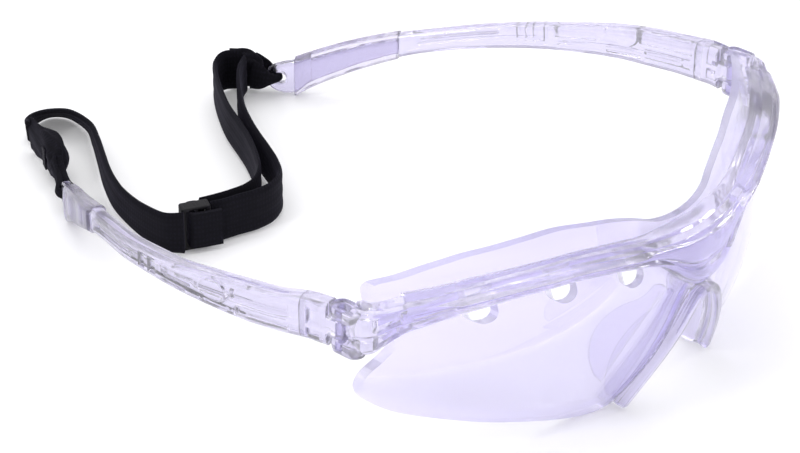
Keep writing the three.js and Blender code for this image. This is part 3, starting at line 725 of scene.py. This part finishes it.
# picks across the band every 0.9 mm, real ones being about 0.6 mm, and warp
# cords along it every 1.3 mm: the map's unit is one millimetre
picks = add(tree, "ShaderNodeTexWave", {"Scale": 0.35, "Distortion": 0.6, "Detail": 1.0,
                                       "bands_direction": "X"}, Vector=uv_place.outputs["UV"])
warps = add(tree, "ShaderNodeTexWave", {"Scale": 0.24, "Distortion": 0.2,
                                       "bands_direction": "Y"}, Vector=uv_place.outputs["UV"])
weave = add(tree, "ShaderNodeMath", {"operation": "MULTIPLY"})
tree.links.new(picks.outputs["Fac"], weave.inputs[0])
tree.links.new(warps.outputs["Fac"], weave.inputs[1])
toned(tree, cloth, weave.outputs[0], "#0B0A11", "#12111A")
bumped(tree, cloth, weave.outputs[0], 0.22, 0.0002)


def ribbon(low, high, n, across=14):
    """Band between a lower and an upper edge curve: a flat section with
    rounded selvedges, square to both the run and the width. Returns its
    skin, the map (mm along, mm across) and its length."""
    a = smooth(low, n)
    b = smooth(high, n)
    width = b - a
    along = unit(np.gradient(a + b, axis=0))
    normal = unit(np.cross(along, width))
    v = np.linspace(0, 1, across)
    # the selvedges thin to a quarter, and three shallow ribs run lengthwise
    h = np.clip(np.minimum(v, 1 - v) / 0.06, 0, 1) ** 0.5 * 0.75 + 0.25
    h = h * (1 - 0.10 * np.cos(2 * math.pi * v * 3) * (h > 0.9))
    v = np.r_[v, v[::-1]]
    h = np.r_[h, -h[::-1]] * WEB_THICK / 2
    grid = a[:, None] + width[:, None] * v[None, :, None] + normal[:, None] * h[None, :, None]
    run = distances((a + b) / 2)
    wide = np.linalg.norm(width, axis=1)
    uv = np.stack([run[:, None] + 0 * v, wide[:, None] * v[None, :]], -1).reshape(-1, 2)
    uv = np.vstack([uv, [[0, 5]], [[run[-1], 5]]])
    return shell(grid), uv, run[-1]


# the single run's lower edge in plan, and how far its upper edge leans out
SINGLE_LOW = [(-21.4, 181.6), (-18.0, 185.4), (-13.2, 187.4), (-9.0, 186.8), (-6.6, 182.6),
              (-8.0, 174.6), (-12.4, 168.0), (-18.1, 160.4), (-24.9, 151.5), (-30.4, 142.6),
              (-33.6, 134.0), (-35.2, 127.0), (-35.6, 120.6), (-33.4, 116.4)]
SINGLE_LEAN = [(-4.4, -4.2), (-5.4, -5.4), (-6.3, -5.9), (-6.2, -6.6), (-5.8, -6.8),
               (-5.5, -6.8), (-5.0, -6.8), (-4.4, -6.2), (-3.4, -5.4), (-2.4, -4.6), (-1.8, -3.4),
               (-1.2, -2.0), (-0.6, -0.8), (0, 0)]
low = np.array([(x, y, 0.5) for x, y in SINGLE_LOW])
high = low + [(dx, dy, math.sqrt(WEB_WIDTH ** 2 - dx * dx - dy * dy)) for dx, dy in SINGLE_LEAN]
skin_part, uv, single_run = ribbon(low, high, 220)
single = solid("strap_single_run", [skin_part], elastic, sharp=60, uv=uv)
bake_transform(single)
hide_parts("strap_single")

# the two layers of the doubled run in plan, from the slider to the left tip
LOOP_OUTER = [(-25.6, 115.2), (-22.6, 113.6), (-19.0, 112.4), (-14.2, 110.6), (-9.0, 110.2),
              (-4.2, 112.2), (-0.4, 116.8), (2.6, 122.0), (5.6, 127.8), (9.0, 133.8),
              (13.2, 140.2), (18.0, 145.8), (24.1, 152.0), (28.4, 155.4), (31.6, 157.0)]
LOOP_INNER = [(-26.0, 118.2), (-22.9, 116.8), (-18.6, 115.2), (-14.0, 114.2), (-9.8, 115.0),
              (-5.2, 118.2), (-0.6, 123.6), (4.0, 130.4), (7.6, 136.9), (11.6, 144.3),
              (17.2, 152.3), (22.6, 158.8), (26.0, 161.6), (29.8, 162.2), (33.0, 159.4)]
for path, name in ((LOOP_OUTER, "outer"), (LOOP_INNER, "inner")):
    low = np.array([(x, y, 0.4) for x, y in path])
    skin_part, uv, run = ribbon(low, low + [0, 0, WEB_WIDTH], 200)
    layer = solid(f"strap_{name}_layer", [skin_part], elastic, sharp=60, uv=uv)
    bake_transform(layer)
    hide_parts(f"strap_loop_{name}")


# ---- strap ends -----------------------------------------------------------
# At each tip the webbing is gathered to a narrow neck, passed through the
# arm's eye, folded back on itself and sewn into a thick wad.
def gathered(path, n):
    """Oval section carried along rows (x, y, z, half height, half thickness),
    creased lengthwise: its radius has five waves round it and nine fine ones."""
    rows = smooth(path, n)
    p = rows[:, :3]
    along = unit(np.gradient(p, axis=0))
    flat = unit(np.cross(along, [0, 0, 1.0]))
    up = np.cross(flat, along)
    t = np.linspace(0, 2 * math.pi, 48, endpoint=False)
    run = distances(p)
    crease = (1 + 0.07 * np.sin(5 * t[None] + run[:, None] * 0.35)
              + 0.03 * np.sin(9 * t[None] - run[:, None]))
    a = rows[:, 3:4] * np.sin(t)[None] * crease
    c = rows[:, 4:5] * np.cos(t)[None] * crease
    grid = p[:, None] + up[:, None] * a[..., None] + flat[:, None] * c[..., None]
    uv = np.stack([run[:, None] + 0 * a, a], -1).reshape(-1, 2)
    return shell(grid), np.vstack([uv, [[0, 0]], [[run[-1], 0]]])


NECK_TURN = math.radians(32.6)         # the tip's direction in plan, from y


def at_eye(a, b, z, side):
    """A point a mm across and b mm beyond the eye of the tip on that side."""
    c, s = math.cos(NECK_TURN), math.sin(NECK_TURN)
    return side * (EYE_X + c * a - s * b), EYE_Y + s * a + c * b, z


# each neck goes in through the eye and out again, from the wad and back to it
right_neck = [(*at_eye(0.6, 12.2, 6.2, -1), 3.4, 1.2), (*at_eye(0.7, 9.0, 6.0, -1), 1.6, 1.0),
              (*at_eye(0.9, 5.4, 5.6, -1), 1.2, 0.9), (*at_eye(1.9, 2.2, 5.0, -1), 1.1, 0.7),
              (*at_eye(0, 0, 4.8, -1), 1.0, 0.7), (*at_eye(-1.9, 2.2, 5.0, -1), 1.1, 0.7),
              (*at_eye(-0.9, 5.4, 5.4, -1), 1.2, 0.9), (*at_eye(-0.7, 9.0, 5.8, -1), 1.6, 1.0),
              (*at_eye(-0.5, 12.2, 6.2, -1), 3.4, 1.2)]
right_wad = [(-32.4, 160.0, 5.8, 1.9, 1.7), (-30.8, 161.8, 5.9, 3.9, 2.4),
             (-28.7, 164.4, 6.2, 5.1, 2.9), (-27.2, 167.4, 6.4, 5.2, 2.8),
             (-26.1, 170.8, 6.0, 4.8, 2.2), (-25.0, 174.4, 5.4, 4.7, 1.5),
             (-23.6, 178.2, 4.9, 4.7, 1.0)]
left_neck = [(*at_eye(1.6, 7.0, 5.8, 1), 4.4, 0.9), (*at_eye(2.2, 4.2, 5.4, 1), 3.2, 0.8),
             (*at_eye(2.0, 1.6, 5.0, 1), 1.4, 0.7), (*at_eye(0, 0, 4.8, 1), 1.1, 0.7),
             (*at_eye(-2.0, 1.6, 5.0, 1), 1.4, 0.7), (*at_eye(-2.2, 4.2, 5.4, 1), 3.2, 0.8),
             (*at_eye(-1.6, 7.0, 5.8, 1), 4.4, 0.9)]
left_wad = [(35.6, 155.0, 5.6, 3.6, 1.9), (34.9, 157.0, 5.8, 5.0, 2.0),
            (33.8, 160.0, 6.0, 5.4, 1.7), (31.8, 162.4, 6.0, 5.5, 1.4)]
for neck, wad, name in ((right_neck, right_wad, "right"), (left_neck, left_wad, "left")):
    a, uv_a = gathered(neck, 70)
    b, uv_b = gathered(wad, 70)
    end = solid(f"strap_gathered_end_{name}", [a, b], elastic, sharp=80,
                uv=np.vstack([uv_a, uv_b]))
    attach(end, f"temple_{name}")
    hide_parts(f"strap_end_{name}")


# ---- stitching ------------------------------------------------------------
# Bar tacks: dark polyester thread sewn in a close zigzag across each wad.
thread, tree, sewn = finish("polyester_thread", Roughness=0.6, Specular_IOR_Level=0.15)
place = add(tree, "ShaderNodeTexCoord")
ply = add(tree, "ShaderNodeTexWave", {"Scale": 900.0, "bands_direction": "DIAGONAL"},
          Vector=place.outputs["Object"])
toned(tree, sewn, ply.outputs["Fac"], "#0F0E15", "#1E1B27")


def tube(path, radius, n, around=8):
    """Round cord of n rings along a path of points."""
    p = smooth(path, n)
    along = unit(np.gradient(p, axis=0))
    # a direction that no stitch follows, from which the rings are set square
    side = unit(np.cross(along, [0.31, 0.93, 0.2]))
    up = np.cross(side, along)
    t = np.linspace(0, 2 * math.pi, around, endpoint=False)
    ring = side[:, None] * np.cos(t)[None, :, None] + up[:, None] * np.sin(t)[None, :, None]
    return p[:, None] + ring * radius


def tack_path(x0, y0, x1, y1, z0, z1, turns):
    """Zigzag from one side to the other, climbing from z0 to z1."""
    k = np.arange(turns * 2 + 1)
    odd = (k % 2)[:, None]
    z = z0 + (z1 - z0) * k / k[-1]
    plan = np.array([[x0, y0]]) * (1 - odd) + np.array([[x1, y1]]) * odd
    return np.column_stack([plan, z])


for name, ends in (("right", (-31.6, 165.2, -30.2, 167.6)),
                   ("left", (35.6, 158.6, 34.8, 161.2))):
    zig = tack_path(*ends, 3.6, 8.8, 12)
    tack = solid(f"bar_tack_{name}", [shell(tube(zig, 0.2, 260))], thread, sharp=80)
    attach(tack, f"temple_{name}")
    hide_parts(f"strap_tack_{name}")


# ---- slider ---------------------------------------------------------------
# Black acetal slider with three upright bars; the webbing's sewn end is
# wrapped round its middle bar.
acetal, tree, satin = finish("black_acetal", Roughness=0.48, Specular_IOR_Level=0.28, IOR=1.48)
place = add(tree, "ShaderNodeTexCoord")
speck = add(tree, "ShaderNodeTexNoise", {"Scale": 600.0, "Detail": 4.0},
            Vector=place.outputs["Object"])
toned(tree, satin, speck.outputs["Fac"], "#07060A", "#100E15")
bumped(tree, satin, speck.outputs["Fac"], 0.1, 0.0001)
SLIDER_X, SLIDER_Y = -28.9, 117.1      # mm: the middle of the slider
SLIDER_TURN = math.radians(-30)        # about Z
SLIDER_HEIGHT = (0.2, 11.9)


def at_slider(grid):
    """From the slider's own axes, x along the strap, to the model's."""
    c, s = math.cos(SLIDER_TURN), math.sin(SLIDER_TURN)
    x, y, z = grid[..., 0], grid[..., 1], grid[..., 2]
    return np.stack([c * x - s * y + SLIDER_X, s * x + c * y + SLIDER_Y, z], -1)


def rod(p0, p1, a, b):
    """Straight bar with a rounded section of half sizes a, b and soft ends."""
    p0, p1 = np.array(p0, float), np.array(p1, float)
    d = (p1 - p0) / np.linalg.norm(p1 - p0)
    u = np.array([1.0, 0, 0]) if abs(d[2]) > 0.5 else np.array([0, 0, 1.0])
    w = np.cross(d, u)
    ring = rounded(a, b, min(a, b) * 0.7, 6)
    rows = []
    length = np.linalg.norm(p1 - p0)
    for t, k in ((0, 0.6), (0.15, 0.9), (0.4, 1.0), (length - 0.4, 1.0), (length - 0.15, 0.9),
                 (length, 0.6)):
        rows.append(p0 + d * t + (ring[:, :1] * u + ring[:, 1:] * w) * k)
    return np.array(rows)


low, high = SLIDER_HEIGHT
bars = [rod((x, 0, low), (x, 0, high), 0.55, 1.6) for x in (-3.05, 0, 3.05)]
rails = [rod((-3.55, 0, z), (3.55, 0, z), 0.45, 1.65) for z in (0.68, 11.42)]
slider = solid("slider_moulding", [shell(at_slider(g)) for g in bars + rails], acetal, sharp=60)
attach(slider, "slider")
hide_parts("strap_slider")


def wrap_band():
    """The hem: webbing 0.9 mm thick, taken round the middle bar and out
    beside the outer layer of the doubled run. Returns its skin and its map."""
    path = smooth([(6.0, -2.7), (3.4, -2.7), (1.0, -2.7), (-1.2, -2.3), (-1.5, 0.0),
                   (-1.2, 2.4), (0.0, 2.75), (1.2, 2.4), (1.6, 0.6), (1.7, -0.9)], 90)
    along = unit(np.gradient(path, axis=0))
    n = np.stack([-along[:, 1], along[:, 0]], -1)
    z = np.r_[np.linspace(1.3, 10.9, 10), np.linspace(10.9, 1.3, 10)]
    off = np.r_[np.full(10, 0.45), np.full(10, -0.45)]
    flat = path[:, None] + n[:, None] * off[None, :, None]
    grid = np.concatenate([flat, np.broadcast_to(z[None, :, None], (90, 20, 1))], -1)
    run = distances(path)
    uv = np.stack(np.broadcast_arrays(run[:, None], z[None, :]), -1).reshape(-1, 2)
    return shell(at_slider(grid)), np.vstack([uv, [[0, 5]], [[run[-1], 5]]])


skin_part, uv = wrap_band()
hem = solid("strap_sewn_hem", [skin_part], elastic, sharp=60, uv=uv)
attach(hem, "slider")
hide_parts("strap_hem")
